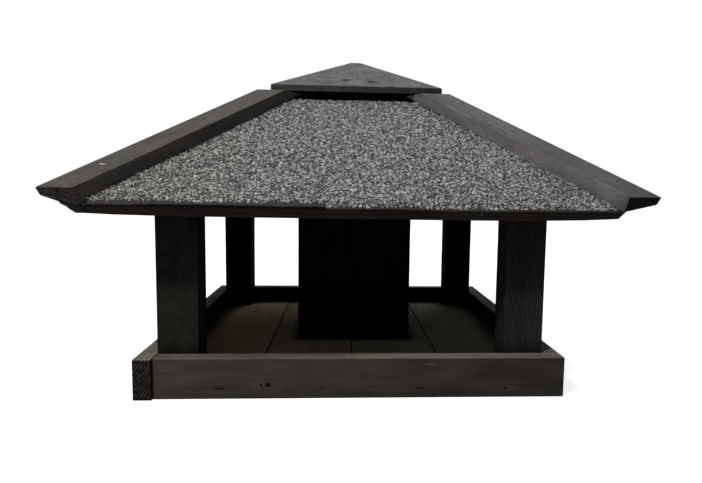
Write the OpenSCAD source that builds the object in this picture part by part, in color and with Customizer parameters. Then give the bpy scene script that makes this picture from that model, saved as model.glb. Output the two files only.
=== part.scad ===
// Square garden bird feeder: a boarded tray on its rails, four corner posts,
// a low hipped roof covered with roofing felt, a seed silo in the middle and
// a loose pyramid cap that lifts off so that the silo can be filled.
// The origin is at the middle of the underside. +Z is up and -Y is the front.

/* [Tray] */
// Width of the tray over its rails
tray_w = 400; // [320:10:480]
// Depth of the tray over its rails
tray_d = 400; // [320:10:480]
// Height of the rails
rail_h = 38; // [26:1:60]
// Thickness of the rails
rail_t = 17; // [12:1:24]
// Thickness of the floor boards
floor_t = 17; // [10:1:22]
// Open joint between two floor boards
floor_joint = 1; // [0.5:0.5:3]
// How far the left rail's end stands proud of the front rail
rail_proud = 3; // [0:0.5:6]

/* [Posts] */
// Width of a post across the front
post_w = 38; // [26:1:50]
// Depth of a post from front to back
post_d = 35; // [24:1:50]

/* [Roof] */
// Height of the eaves' lower edge above the ground
eave_z = 171; // [140:1:220]
// How far the eaves' lower edge stands out from the tray's rails
eave_out = 30; // [20:1:50]
// Slope of the roof in degrees
roof_slope = 34; // [28:0.5:40]
// Thickness of the roof panels
panel_t = 15; // [9:0.5:20]
// Thickness of the roofing felt with its stone chips
felt_t = 2; // [1:0.5:3]
// How far the felt laps down over a panel's edge
felt_lap = 4.5; // [1:0.5:8]

/* [Hip boards] */
// Width of a hip board's underside, from the hip inwards
hip_w = 16; // [10:0.5:30]
// Thickness of the hip boards
hip_t = 13.5; // [8:0.5:18]
// How far the hip boards run out past the eaves
hip_out = 7; // [0:0.5:15]

/* [Silo] */
// Width of the silo over its boards
silo_w = 130; // [100:1:156]
// Depth of the silo over its boards
silo_d = 98; // [80:1:130]
// Thickness of the silo's boards
silo_t = 9; // [6:0.5:14]
// Height of the feed slots under the silo's side boards
feed_slot = 12; // [6:1:25]
// Height of the cap's underside above the silo's top
silo_gap = 7; // [5:1:15]
// Space between the silo's boards and the inner edge of the roof
silo_room = 12.5; // [6:0.5:24]
// How far the silo and its cap sit off centre
silo_shift = 3; // [0:0.5:5]

/* [Cap] */
// How far the cap reaches over the inner ends of the hip boards
cap_lap = 14.5; // [10:0.5:25]
// Height of the cap's upright edge
cap_edge = 7; // [4:0.5:15]
// Height of the cap's underside above the top edge of the felt
cap_rise = 7; // [5:0.5:12]
// Height of the whole cap
cap_h = 48; // [30:1:70]
// Width of the cap's blunt top
cap_tip = 12; // [4:1:20]
// How far the block under the cap reaches down into the silo
plug_depth = 6; // [3:1:20]
// Space between that block and the silo's boards, on each side
plug_gap = 5; // [3:0.5:10]

/* [Hidden] */

// The floor boards lie side by side, one node each
floor_boards = 4;
// Running gap between the cap and the cut ends that it rests on
seat_gap = 0.3;
// Length that is surely more than any piece of the roof
far = 2 * (tray_w + tray_d);

// The tray's inner sides
inner_w = tray_w - 2 * rail_t;
inner_d = tray_d - 2 * rail_t;

// The eaves stand out from the tray equally on all sides, and the four slopes
// rise alike, to an opening that leaves room round the silo
half_eave_w = tray_w / 2 + eave_out;
half_eave_d = tray_d / 2 + eave_out;
half_mouth = max(silo_w, silo_d) / 2 + silo_room;
run = min(half_eave_w, half_eave_d) - half_mouth;

// Points of a slope's section are [distance out from the eaves, height]
uphill = [-cos(roof_slope), sin(roof_slope)];
outward = [sin(roof_slope), cos(roof_slope)];
panel_len = run / cos(roof_slope);
under_eave = [0, eave_z];
over_eave = under_eave + panel_t * outward;
under_top = under_eave + panel_len * uphill;
over_top = over_eave + panel_len * uphill;
felt_eave = over_eave + felt_t * outward;
felt_top = over_top + felt_t * outward;

// The cap rests on the hip boards' ends, which are cut level at this height
seat_z = felt_top[1] + cap_rise;
cap_z = seat_z + seat_gap;
// Where the felt's plane reaches that height, and how far the cap reaches out
seat_out = felt_top[0] - cap_rise / tan(roof_slope);
cap_out = seat_out + cap_lap;
silo_top = cap_z - silo_gap;
plug_w = silo_w - 2 * (silo_t + plug_gap);
plug_d = silo_d - 2 * (silo_t + plug_gap);

wood = "#3a3835";
dark_wood = "#1d1c1b";
roof_wood = "#4a4541";
felt_grey = "#77777a";
cap_grey = "#5c5c5c";

// Sides are 0 front, 1 right, 2 back, 3 left. Pieces of a slope are made with
// the middle of its eaves at the origin, facing the front.
function half_eave(side) = side % 2 == 0 ? half_eave_w : half_eave_d;

module to_side(side) {
    rotate([0, 0, 90 * side])
        translate([0, -half_eave(side + 1), 0])
            children();
}

// What lies between the two hips of a slope, in plan
module between_hips(side) {
    inward = run + half_mouth / 2;
    linear_extrude(far)
        polygon([
            [inward - half_eave(side), inward],
            [-half_eave(side) - far, -far],
            [half_eave(side) + far, -far],
            [half_eave(side) - inward, inward]
        ]);
}

// A slope's section, run along the eaves and mitred on the hips
module slope(side, section) {
    to_side(side)
        intersection() {
            rotate([90, 0, -90])
                linear_extrude(2 * far, center = true)
                    polygon(section);
            between_hips(side);
        }
}

module front_rail() {
    color(wood)
        translate([rail_t - tray_w / 2, -tray_d / 2, 0])
            cube([tray_w - rail_t, rail_t, rail_h]);
}

module back_rail() {
    color(wood)
        translate([-tray_w / 2, tray_d / 2 - rail_t, 0])
            cube([tray_w - rail_t, rail_t, rail_h]);
}

module left_rail() {
    color(wood)
        translate([-tray_w / 2, -tray_d / 2 - rail_proud, 0])
            cube([rail_t, tray_d - rail_t + rail_proud, rail_h]);
}

module right_rail() {
    color(wood)
        translate([tray_w / 2 - rail_t, rail_t - tray_d / 2, 0])
            cube([rail_t, tray_d - rail_t, rail_h]);
}

// Floor boards run from front to back and are counted from the left
module floor_board(number) {
    pitch = (inner_w + floor_joint) / floor_boards;
    color(wood)
        translate([(number - 1) * pitch - inner_w / 2, -inner_d / 2, 0])
            cube([pitch - floor_joint, inner_d, floor_t]);
}

// A block with one section as seen from the front and one from the side
module hipped(front_section, side_section) {
    intersection() {
        rotate([90, 0, 0])
            linear_extrude(far, center = true)
                polygon(front_section);
        rotate([90, 0, 90])
            linear_extrude(far, center = true)
                polygon(side_section);
    }
}

// The space under the roof panels, down to the ground
module under_roof() {
    function section(half) = [
        [-half, 0], [half, 0],
        [half, eave_z], [half - run, under_top[1]],
        [run - half, under_top[1]], [-half, eave_z]
    ];
    hipped(section(half_eave_w), section(half_eave_d));
}

// A post stands on the floor in a corner of the tray. Its top is cut to the
// two slopes that meet above it.
module post(side_x, side_y) {
    color(dark_wood)
        intersection() {
            translate([
                side_x * (inner_w - post_w) / 2 - post_w / 2,
                side_y * (inner_d - post_d) / 2 - post_d / 2,
                floor_t
            ])
                cube([post_w, post_d, under_top[1]]);
            under_roof();
        }
}

// The silo's front and back boards stand on the floor
module silo_wide_board(side_y) {
    color(dark_wood)
        translate([
            silo_shift - silo_w / 2,
            side_y * (silo_d - silo_t) / 2 - silo_t / 2,
            floor_t
        ])
            cube([silo_w, silo_t, silo_top - floor_t]);
}

// Its side boards sit between them, above the feed slots
module silo_side_board(side_x) {
    board_d = silo_d - 2 * silo_t;
    slot_top = floor_t + feed_slot;
    color(dark_wood)
        translate([
            silo_shift + side_x * (silo_w - silo_t) / 2 - silo_t / 2,
            -board_d / 2,
            slot_top
        ])
            cube([silo_t, board_d, silo_top - slot_top]);
}

module roof_panel(side) {
    color(roof_wood)
        slope(side, [under_eave, over_eave, over_top, under_top]);
}

// The felt lies on the panel and laps down over its lower edge
module roofing_felt(side) {
    downhill = -uphill;
    lap_foot = over_eave - felt_lap * outward;
    color(felt_grey)
        slope(side, [
            over_eave, over_top, felt_top,
            felt_eave + felt_t * downhill,
            lap_foot + felt_t * downhill,
            lap_foot
        ]);
}

// A hip board lies on the felt along the right-hand hip of its slope.
// Its outer side is mitred to its neighbour round the corner, its foot is
// cut along the eaves and its head is cut level, to carry the cap.
module right_hip_board(side) {
    hip_slant = cos(roof_slope);
    inset = hip_w * sqrt(1 + pow(hip_slant, 2));
    head = panel_len + cap_rise / sin(roof_slope) + hip_t;
    corner = half_eave(side) + felt_eave[0];
    function hip_x(up, offset) = corner - up * hip_slant + offset;
    intersection() {
        translate([0, -felt_eave[0], felt_eave[1]])
            rotate([roof_slope, 0, 0])
                linear_extrude(hip_t)
                    polygon([
                        [hip_x(-hip_out, -inset), -hip_out],
                        [hip_x(-hip_out, hip_t), -hip_out],
                        [hip_x(head, hip_t), head],
                        [hip_x(head, -inset), head]
                    ]);
        between_hips(side);
        translate([-far / 2, -far / 2, 0])
            cube([far, far, seat_z]);
    }
}

// hand is 1 for the right-hand hip of that side and -1 for the left-hand one
module hip_board(side, hand) {
    color(wood)
        to_side(side)
            if (hand > 0)
                right_hip_board(side);
            else
                mirror([1, 0, 0])
                    right_hip_board(side);
}

// The cap is one block: upright edges, four slopes and a blunt top
module roof_cap() {
    tip = cap_tip / 2;
    function section(half) = [
        [-half, 0], [half, 0],
        [half, cap_edge], [tip, cap_h],
        [-tip, cap_h], [-half, cap_edge]
    ];
    color(cap_grey)
        translate([silo_shift, 0, cap_z])
            hipped(section(half_eave_w + cap_out), section(half_eave_d + cap_out));
}

// The block under the cap that drops into the silo and keeps the cap in place
module cap_plug() {
    color(dark_wood)
        translate([silo_shift - plug_w / 2, -plug_d / 2, silo_top - plug_depth])
            cube([plug_w, plug_d, silo_gap + plug_depth]);
}

front_rail();
back_rail();
left_rail();
right_rail();
floor_board(1);  // floor_board_1
floor_board(2);  // floor_board_2
floor_board(3);  // floor_board_3
floor_board(4);  // floor_board_4
post(-1, -1);  // post_front_left
post(1, -1);  // post_front_right
post(-1, 1);  // post_back_left
post(1, 1);  // post_back_right
silo_wide_board(-1);  // silo_front_board
silo_wide_board(1);  // silo_back_board
silo_side_board(-1);  // silo_left_board
silo_side_board(1);  // silo_right_board
roof_panel(0);  // roof_panel_front
roof_panel(1);  // roof_panel_right
roof_panel(2);  // roof_panel_back
roof_panel(3);  // roof_panel_left
roofing_felt(0);  // roofing_felt_front
roofing_felt(1);  // roofing_felt_right
roofing_felt(2);  // roofing_felt_back
roofing_felt(3);  // roofing_felt_left
hip_board(0, -1);  // hip_board_front_left
hip_board(0, 1);  // hip_board_front_right
hip_board(1, -1);  // hip_board_right_front
hip_board(1, 1);  // hip_board_right_back
hip_board(2, -1);  // hip_board_back_right
hip_board(2, 1);  // hip_board_back_left
hip_board(3, -1);  // hip_board_left_back
hip_board(3, 1);  // hip_board_left_front
roof_cap();
cap_plug();
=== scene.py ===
import bmesh
import bpy
import math
import random
from mathutils import Matrix, Vector, noise


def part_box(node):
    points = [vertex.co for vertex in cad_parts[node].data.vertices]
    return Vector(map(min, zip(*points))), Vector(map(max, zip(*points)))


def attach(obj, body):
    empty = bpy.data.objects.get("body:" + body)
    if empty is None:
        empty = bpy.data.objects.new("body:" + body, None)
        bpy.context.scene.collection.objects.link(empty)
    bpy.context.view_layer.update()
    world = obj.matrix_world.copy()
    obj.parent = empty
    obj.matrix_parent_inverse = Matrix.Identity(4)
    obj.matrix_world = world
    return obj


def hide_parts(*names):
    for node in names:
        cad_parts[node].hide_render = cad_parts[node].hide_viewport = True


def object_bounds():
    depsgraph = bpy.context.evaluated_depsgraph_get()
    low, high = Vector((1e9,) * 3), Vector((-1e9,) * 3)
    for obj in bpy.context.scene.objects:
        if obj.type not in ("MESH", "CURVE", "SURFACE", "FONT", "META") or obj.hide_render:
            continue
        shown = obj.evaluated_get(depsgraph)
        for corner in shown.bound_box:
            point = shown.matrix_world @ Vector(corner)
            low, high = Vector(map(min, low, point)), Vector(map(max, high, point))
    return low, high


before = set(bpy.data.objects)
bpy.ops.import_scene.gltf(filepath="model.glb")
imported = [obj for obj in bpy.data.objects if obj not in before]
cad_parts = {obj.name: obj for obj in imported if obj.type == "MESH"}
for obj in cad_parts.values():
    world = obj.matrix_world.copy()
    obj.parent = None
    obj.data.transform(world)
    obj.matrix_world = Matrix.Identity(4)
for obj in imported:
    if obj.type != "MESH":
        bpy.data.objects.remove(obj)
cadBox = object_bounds()


# helpers for meshes

def finishMesh(bm, name, smooth=False):
    mesh = bpy.data.meshes.new(name)
    bm.to_mesh(mesh)
    bm.free()
    for face in mesh.polygons:
        face.use_smooth = smooth
    return mesh


def giveAttribute(mesh, name, kind, values):
    data = mesh.attributes.new(name, kind, "POINT").data
    if kind == "FLOAT":
        data.foreach_set("value", values)
    else:
        data.foreach_set("vector", [number for value in values for number in value])


def addObject(name, data):
    made = bpy.data.objects.new(name, data)
    bpy.context.scene.collection.objects.link(made)
    return made


def addPiece(mesh, material, replaced=(), body="feeder"):
    piece = addObject(mesh.name, mesh)
    mesh.materials.clear()
    mesh.materials.append(material)
    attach(piece, body)
    if replaced:
        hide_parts(*replaced)
    return piece


def roundEdges(bm, edges, offset, cuts):
    bmesh.ops.bevel(bm, geom=edges, offset=offset, offset_type="OFFSET", segments=cuts, profile=0.5,
                    affect="EDGES", material=-1, clamp_overlap=True)


# helpers for nodes

def put(socket, value):
    tree = socket.id_data
    if isinstance(value, bpy.types.NodeSocket):
        tree.links.new(value, socket)
    else:
        socket.default_value = value


def treeOf(*values):
    # the node tree that the first socket among the values is in
    return next(value.id_data for value in values if isinstance(value, bpy.types.NodeSocket))


def maths(operation, first, second=None, clamp=False):
    step = treeOf(first, second).nodes.new("ShaderNodeMath")
    step.operation = operation
    step.use_clamp = clamp
    put(step.inputs[0], first)
    if second is not None:
        put(step.inputs[1], second)
    return step.outputs[0]


def vectorMaths(operation, first, second=None):
    step = treeOf(first, second).nodes.new("ShaderNodeVectorMath")
    step.operation = operation
    put(step.inputs[0], first)
    if second is not None:
        put(step.inputs["Scale"] if operation == "SCALE" else step.inputs[1], second)
    return step.outputs["Value"] if operation == "LENGTH" else step.outputs[0]


def shortcut(make, operation):
    return lambda *values, **options: make(operation, *values, **options)


times, plus, minus = (shortcut(maths, way) for way in ("MULTIPLY", "ADD", "SUBTRACT"))
vectorTimes, vectorPlus, vectorMinus, vectorLength, scaled = (
    shortcut(vectorMaths, way) for way in ("MULTIPLY", "ADD", "SUBTRACT", "LENGTH", "SCALE"))


def objectPlace(tree):
    return tree.nodes.new("ShaderNodeTexCoord").outputs["Object"]


def apart(vector):
    split = vector.id_data.nodes.new("ShaderNodeSeparateXYZ")
    put(split.inputs[0], vector)
    return split.outputs


def together(x, y, z):
    join = treeOf(x, y, z).nodes.new("ShaderNodeCombineXYZ")
    for socket, value in zip(join.inputs, (x, y, z)):
        put(socket, value)
    return join.outputs[0]


def between(value, low, high, toLow=0.0, toHigh=1.0, smooth=False):
    step = value.id_data.nodes.new("ShaderNodeMapRange")
    step.interpolation_type = "SMOOTHSTEP" if smooth else "LINEAR"
    for socket, number in zip(step.inputs, (value, low, high, toLow, toHigh)):
        put(socket, number)
    return step.outputs[0]


def mixed(amount, first, second):
    step = amount.id_data.nodes.new("ShaderNodeMix")
    step.data_type = "RGBA"
    put(step.inputs[0], amount)
    put(step.inputs[6], first)
    put(step.inputs[7], second)
    return step.outputs[2]


def cloud(vector, scale, detail=2.0, rough=0.5):
    step = vector.id_data.nodes.new("ShaderNodeTexNoise")
    put(step.inputs["Vector"], vector)
    for key, value in (("Scale", scale), ("Detail", detail), ("Roughness", rough)):
        put(step.inputs[key], value)
    return step.outputs[0]


def attribute(tree, name):
    step = tree.nodes.new("ShaderNodeAttribute")
    step.attribute_name = name
    return step.outputs


def newGroup(name, vectors, numbers, results):
    tree = bpy.data.node_groups.new(name, "ShaderNodeTree")
    for label in vectors:
        tree.interface.new_socket(label, in_out="INPUT", socket_type="NodeSocketVector")
    for label, value in numbers.items():
        socket = tree.interface.new_socket(label, in_out="INPUT", socket_type="NodeSocketFloat")
        socket.default_value = value
    for label in results:
        tree.interface.new_socket(label, in_out="OUTPUT", socket_type="NodeSocketFloat")
    return tree, tree.nodes.new("NodeGroupInput").outputs, tree.nodes.new("NodeGroupOutput").inputs


def useGroup(tree, group, **values):
    step = tree.nodes.new("ShaderNodeGroup")
    step.node_tree = group
    for key, value in values.items():
        put(step.inputs[key], value)
    return step.outputs


def newMaterial(name):
    material = bpy.data.materials.new(name)
    material.use_nodes = True
    return material, material.node_tree, material.node_tree.nodes["Principled BSDF"].inputs


def roughen(shader, height, distance):
    bump = height.id_data.nodes.new("ShaderNodeBump")
    put(bump.inputs["Height"], height)
    put(bump.inputs["Distance"], distance)
    put(shader["Normal"], bump.outputs[0])


# effects that several finishes share

grainLook = dict(shift=(3.1, 7.7, 5.3), bendScale=(5.0, 16.0, 16.0), bend=7.0,
                 fibreScale=(18.0, 620.0, 620.0), patchAcross=60.0, hueScale=28.0)


def makeGrainGroup():
    # solid softwood: growth rings round a pith that lies outside the board, and long fibres
    tree, given, result = newGroup(
        "softwoodGrain", ("place", "pith"),
        dict(tone=0.5, ringSpacing=0.003, wander=1.0, patchScale=14.0, tilt=0.0),
        ("rings", "fibres", "patches", "hue"))
    moved = vectorPlus(given["place"], scaled(grainLook["shift"], given["tone"]))
    slow = cloud(vectorTimes(moved, grainLook["bendScale"]), 1.0, 3.0)
    bend = times(minus(slow, 0.5), given["wander"])
    away = vectorTimes(vectorMinus(given["place"], given["pith"]), (0.0, 1.0, 1.0))
    lean = times(apart(given["place"])[0], given["tilt"])  # of a pith that runs aslant
    away = vectorPlus(away, together(0.0, 0.0, lean))
    turns = maths("DIVIDE", vectorLength(away), given["ringSpacing"])
    part = maths("FRACT", plus(turns, times(bend, grainLook["bend"])))
    late = times(between(part, 0.2, 0.85, smooth=True), between(part, 1.0, 0.9))
    put(result["rings"], late)
    put(result["fibres"], cloud(vectorTimes(moved, grainLook["fibreScale"]), 1.0, 3.0, 0.6))
    across = grainLook["patchAcross"]
    broad = vectorTimes(moved, together(given["patchScale"], across, across))
    put(result["patches"], between(cloud(broad, 1.0, 4.0, 0.6), 0.3, 0.7))
    hue = cloud(scaled(moved, grainLook["hueScale"]), 1.0, 2.0)
    put(result["hue"], between(hue, 0.35, 0.65))
    return tree


rubAndShadeLook = dict(shift=(5.3, 2.9, 4.1), speckScale=(60.0, 160.0, 160.0), width=0.002, upward=(0.35, 0.8),
               backDepth=(0.0009, 0.0004))


def makeWearAndShadeGroup():
    # rubbed arrises, upward faces and the back face of a board, from its own place and half sizes; the back
    # face takes painted shade
    tree, given, result = newGroup("boardWear", ("place", "half"), dict(tone=0.5, width=rubAndShadeLook["width"]),
                                   ("edges", "tops", "back"))
    x, y, z = apart(vectorMinus(given["half"], vectorMaths("ABSOLUTE", given["place"])))
    low, high = maths("MINIMUM", x, y), maths("MAXIMUM", x, y)
    second = maths("MAXIMUM", low, maths("MINIMUM", high, z))  # depth in the second nearest face
    moved = vectorPlus(given["place"], scaled(rubAndShadeLook["shift"], given["tone"]))
    speck = cloud(vectorTimes(moved, rubAndShadeLook["speckScale"]), 1.0, 3.0, 0.6)
    reach = times(given["width"], between(speck, 0.3, 0.75))
    share = maths("DIVIDE", second, plus(reach, 0.0001))
    put(result["edges"], between(share, 1.3, 0.2, smooth=True))
    skyward = apart(tree.nodes.new("ShaderNodeNewGeometry").outputs["Normal"])[2]
    put(result["tops"], between(skyward, *rubAndShadeLook["upward"], smooth=True))
    depth = plus(apart(given["place"])[2], apart(given["half"])[2])
    put(result["back"], between(depth, *rubAndShadeLook["backDepth"]))
    return tree


knotLook = dict(oval=(0.75, 1.0, 0.0), swirl=(0.22, 1.0, 0.0), jitterScale=420.0, jitters=(0.6, 1.4),
                waves=7.0)


def makeKnotGroup():
    # a knot that goes through the board: an oval dark heart, and the grain swirling paler round it
    tree, given, result = newGroup("knot", ("place", "centre"), dict(size=0.004), ("heart", "swirl"))
    offset = vectorMinus(given["place"], given["centre"])
    size = maths("MAXIMUM", given["size"], 0.00001)
    there = between(given["size"], 0.0, 0.0004)
    jitter = minus(cloud(scaled(given["place"], knotLook["jitterScale"]), 1.0, 2.0), 0.5)
    close, far = (maths("DIVIDE", vectorLength(vectorTimes(offset, knotLook[key])), size)
                  for key in ("oval", "swirl"))
    close, far = (plus(reach, times(jitter, amount))
                  for reach, amount in zip((close, far), knotLook["jitters"]))
    put(result["heart"], times(there, between(close, 1.15, 0.4, smooth=True)))
    waves = between(maths("SINE", times(far, knotLook["waves"])), -1.0, 1.0, 0.1, 1.0)
    ring = times(between(far, 2.6, 1.0, smooth=True), between(close, 0.9, 1.5))
    put(result["swirl"], times(there, times(ring, waves)))
    return tree


grainGroup = makeGrainGroup()
wearAndShadeGroup = makeWearAndShadeGroup()
knotGroup = makeKnotGroup()

# stained wood

# tops is the colour of upward faces: paler partly with dust and wear, and partly as a painted sheen
stainBasis = dict(  # what a stain has unless it says otherwise
    tops=(0.02, 0.019, 0.018), endDark=(0.003, 0.003, 0.003), endPale=(0.02, 0.018, 0.016), back=1.0,
    mottle=0.5, rough=0.85, shine=0.02, patchScale=14.0, tilt=0.0, endRings=1.9, hueSpread=1.0)
stains = dict(
    railStain=dict(
        dark=(0.02, 0.0178, 0.0162), pale=(0.052, 0.047, 0.0425), rubbed=(0.11, 0.105, 0.092),
        tops=(0.112, 0.106, 0.092), endDark=(0.0012, 0.001, 0.001), endPale=(0.031, 0.0245, 0.023),
        back=0.02, rings=0.05, fibres=0.13, mottle=0.72, rough=0.7, shine=0.06, wearWidth=0.0009,
        ringSpacing=0.0027),
    floorStain=dict(
        dark=(0.038, 0.033, 0.0245), pale=(0.075, 0.066, 0.05), rubbed=(0.03, 0.022, 0.015),
        tops=(0.085, 0.0745, 0.056), endDark=(0.004, 0.004, 0.003), endPale=(0.03, 0.025, 0.02), back=0.5,
        rings=0.08, fibres=0.09, mottle=0.3, rough=0.8, shine=0.04, wearWidth=0.001, ringSpacing=0.0045,
        paintedTrayShade=True),
    postStain=dict(
        dark=(0.0055, 0.0053, 0.0048), pale=(0.02, 0.0192, 0.0176), rubbed=(0.02, 0.019, 0.018),
        rings=0.2, fibres=0.14, shine=0.03, wearWidth=0.001, ringSpacing=0.0036, foot=(0.02, 0.036),
        tilt=0.22),
    # the rear posts' stain is the post stain made near black, as painted shade
    rearStain=dict(
        dark=(0.0005, 0.0005, 0.0005), pale=(0.0022, 0.0021, 0.002), rubbed=(0.002, 0.002, 0.002),
        rings=0.3, fibres=0.28, mottle=0.55, wearWidth=0.0008, ringSpacing=0.005),
    # the silo's black stain, made darker still as painted shade
    siloStain=dict(
        dark=(0.0005, 0.0005, 0.0005), pale=(0.0062, 0.0062, 0.0068), rubbed=(0.004, 0.004, 0.0045),
        tops=(0.006, 0.006, 0.0065), endDark=(0.001, 0.001, 0.001), endPale=(0.006, 0.006, 0.006),
        rings=0.25, fibres=0.4, wearWidth=0.0006, ringSpacing=0.006),
    panelStain=dict(
        dark=(0.0066, 0.0046, 0.0037), pale=(0.0208, 0.0151, 0.0121), rubbed=(0.023, 0.0156, 0.0112),
        tops=(0.03, 0.024, 0.02), endDark=(0.006, 0.005, 0.004), endPale=(0.03, 0.025, 0.02), back=0.7,
        rings=0.34, fibres=0.28, mottle=0.55, rough=0.7, shine=0.06, wearWidth=0.0008, ringSpacing=0.0022,
        hueSpread=4.0, eave=(0.004, 0.01)),
    hipStain=dict(
        dark=(0.026, 0.0245, 0.023), pale=(0.072, 0.069, 0.066), rubbed=(0.15, 0.145, 0.139),
        tops=(0.072, 0.0695, 0.0675), endDark=(0.0025, 0.0023, 0.0022), endPale=(0.034, 0.031, 0.029),
        rings=0.05, fibres=0.12, rough=0.66, shine=0.08, wearWidth=0.0011, ringSpacing=0.0019,
        foot=(0.004, 0.04), endRings=0.75, patchScale=26.0, speckle=0.16, hueSpread=1.3),
    capStain=dict(
        dark=(0.018, 0.0178, 0.0172), pale=(0.042, 0.0415, 0.0405), rubbed=(0.11, 0.108, 0.104),
        tops=(0.1, 0.099, 0.0965), endDark=(0.006, 0.006, 0.006), endPale=(0.04, 0.039, 0.038), back=0.02,
        rings=0.02, fibres=0.07, mottle=0.68, rough=0.7, shine=0.05, wearWidth=0.0011, ringSpacing=0.0055,
        patchScale=60.0, speckle=0.42))
knotCount = 3


def opaque(colour):
    return (*colour, 1)


siloBoxes = [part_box(f"silo_{face}_board") for face in ("front", "back", "left", "right")]
siloLow = Vector([min(low[axis] for low, high in siloBoxes) for axis in (0, 1)])
siloHigh = Vector([max(high[axis] for low, high in siloBoxes) for axis in (0, 1)])
# painted shade: a dark soft band on the tray beside the rails, rounded at the corners, and a narrow one round
# the silo's foot, where shade falls
paintedShadeLook = dict(strength=0.92, colour=(0.002, 0.0017, 0.0013), inside=-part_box("front_rail")[1].y,
                 reach=0.03, corner=0.075, ragged=0.009, siloReach=0.016, siloStrength=0.9)


# the mask of the painted shade on the tray floor
def makePaintedShade(tree):
    spot = objectPlace(tree)
    flat = vectorTimes(vectorMaths("ABSOLUTE", spot), (1.0, 1.0, 0.0))
    inner = paintedShadeLook["inside"] - paintedShadeLook["corner"]
    past = vectorMaths("MAXIMUM", vectorMinus(flat, (inner, inner, 0.0)), (0.0, 0.0, 0.0))
    left = minus(paintedShadeLook["corner"], vectorLength(past))
    ragged = minus(cloud(spot, 60.0, 3.0), 0.5)
    left = plus(left, times(ragged, paintedShadeLook["ragged"]))
    alongRails = between(left, 0.001, paintedShadeLook["reach"], 1.0, 0.0, smooth=True)
    centre, half = (siloLow + siloHigh) / 2, (siloHigh - siloLow) / 2
    flat = vectorMaths("ABSOLUTE", vectorMinus(spot, (*centre, 0.0)))
    flat = vectorTimes(vectorMinus(flat, (*half, 0.0)), (1.0, 1.0, 0.0))
    gap = vectorLength(vectorMaths("MAXIMUM", flat, (0.0, 0.0, 0.0)))
    roundSilo = between(gap, 0.0, paintedShadeLook["siloReach"], paintedShadeLook["siloStrength"], 0.0, smooth=True)
    return times(maths("MAXIMUM", alongRails, roundSilo), paintedShadeLook["strength"])


wearAndShadeLook = dict(  # how strongly each effect shows on stained wood, and its colour where it has one
    edges=0.8, swirl=0.12, heart=0.96, heartShade=0.08, eave=(0.28, 1.12), foot=0.6,
    dirt=(0.004, 0.0034, 0.0028), backShade=(0.0012, 0.0011, 0.001), topRange=(0.5, 1.5), endRange=(0.18, 1.9),
    hues=((0.025, -0.005, -0.02), (-0.025, 0.0, 0.02)), bump=0.00035, fibreBump=0.6, ringBump=1.2,
    knotBump=0.8, speckleScale=(160.0, 220.0, 220.0), dullScale=(120.0, 260.0, 260.0), dullFade=0.02,
    endScale=(60.0, 330.0, 420.0))


def makeSides(tree, look, board, grain):
    # colours of a board's flanks and tops, with its painted light and shade, before its arrises are rubbed
    # and its other marks go on
    streaks = between(grain["fibres"], 0.3, 0.7, -look["fibres"], look["fibres"])
    mottle = times(minus(grain["patches"], 0.5), look["mottle"])
    if "speckle" in look:
        fine = cloud(vectorTimes(board["place"], wearAndShadeLook["speckleScale"]), 1.0, 4.0, 0.65)
        mottle = plus(mottle, between(fine, 0.3, 0.7, -look["speckle"], look["speckle"]))
    lightness = plus(plus(streaks, mottle), 0.5 + look["rings"] * 0.35)
    lightness = minus(lightness, times(grain["rings"], look["rings"]), clamp=True)
    flank = mixed(lightness, opaque(look["dark"]), opaque(look["pale"]))
    flank = scaled(vectorTimes(flank, board["tint"]), board["paintedShades"][1])
    crowns = [opaque([c * part for c in look["tops"]]) for part in wearAndShadeLook["topRange"]]
    crown = mixed(lightness, *crowns)
    dullAt, dullHalf, dullness = apart(attribute(tree, "boardDull")["Vector"])
    worn = cloud(vectorTimes(board["place"], wearAndShadeLook["dullScale"]), 1.0, 4.0, 0.7)
    off = maths("ABSOLUTE", minus(apart(board["place"])[0], dullAt))
    off = plus(minus(dullHalf, off), times(worn, wearAndShadeLook["dullFade"]))
    dulled = times(between(off, 0.0, wearAndShadeLook["dullFade"]), times(dullness, between(worn, 0.6, 0.4)))
    topShade = times(board["paintedShades"][0], minus(1.0, dulled))
    return flank, scaled(vectorTimes(crown, board["tint"]), topShade)


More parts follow.
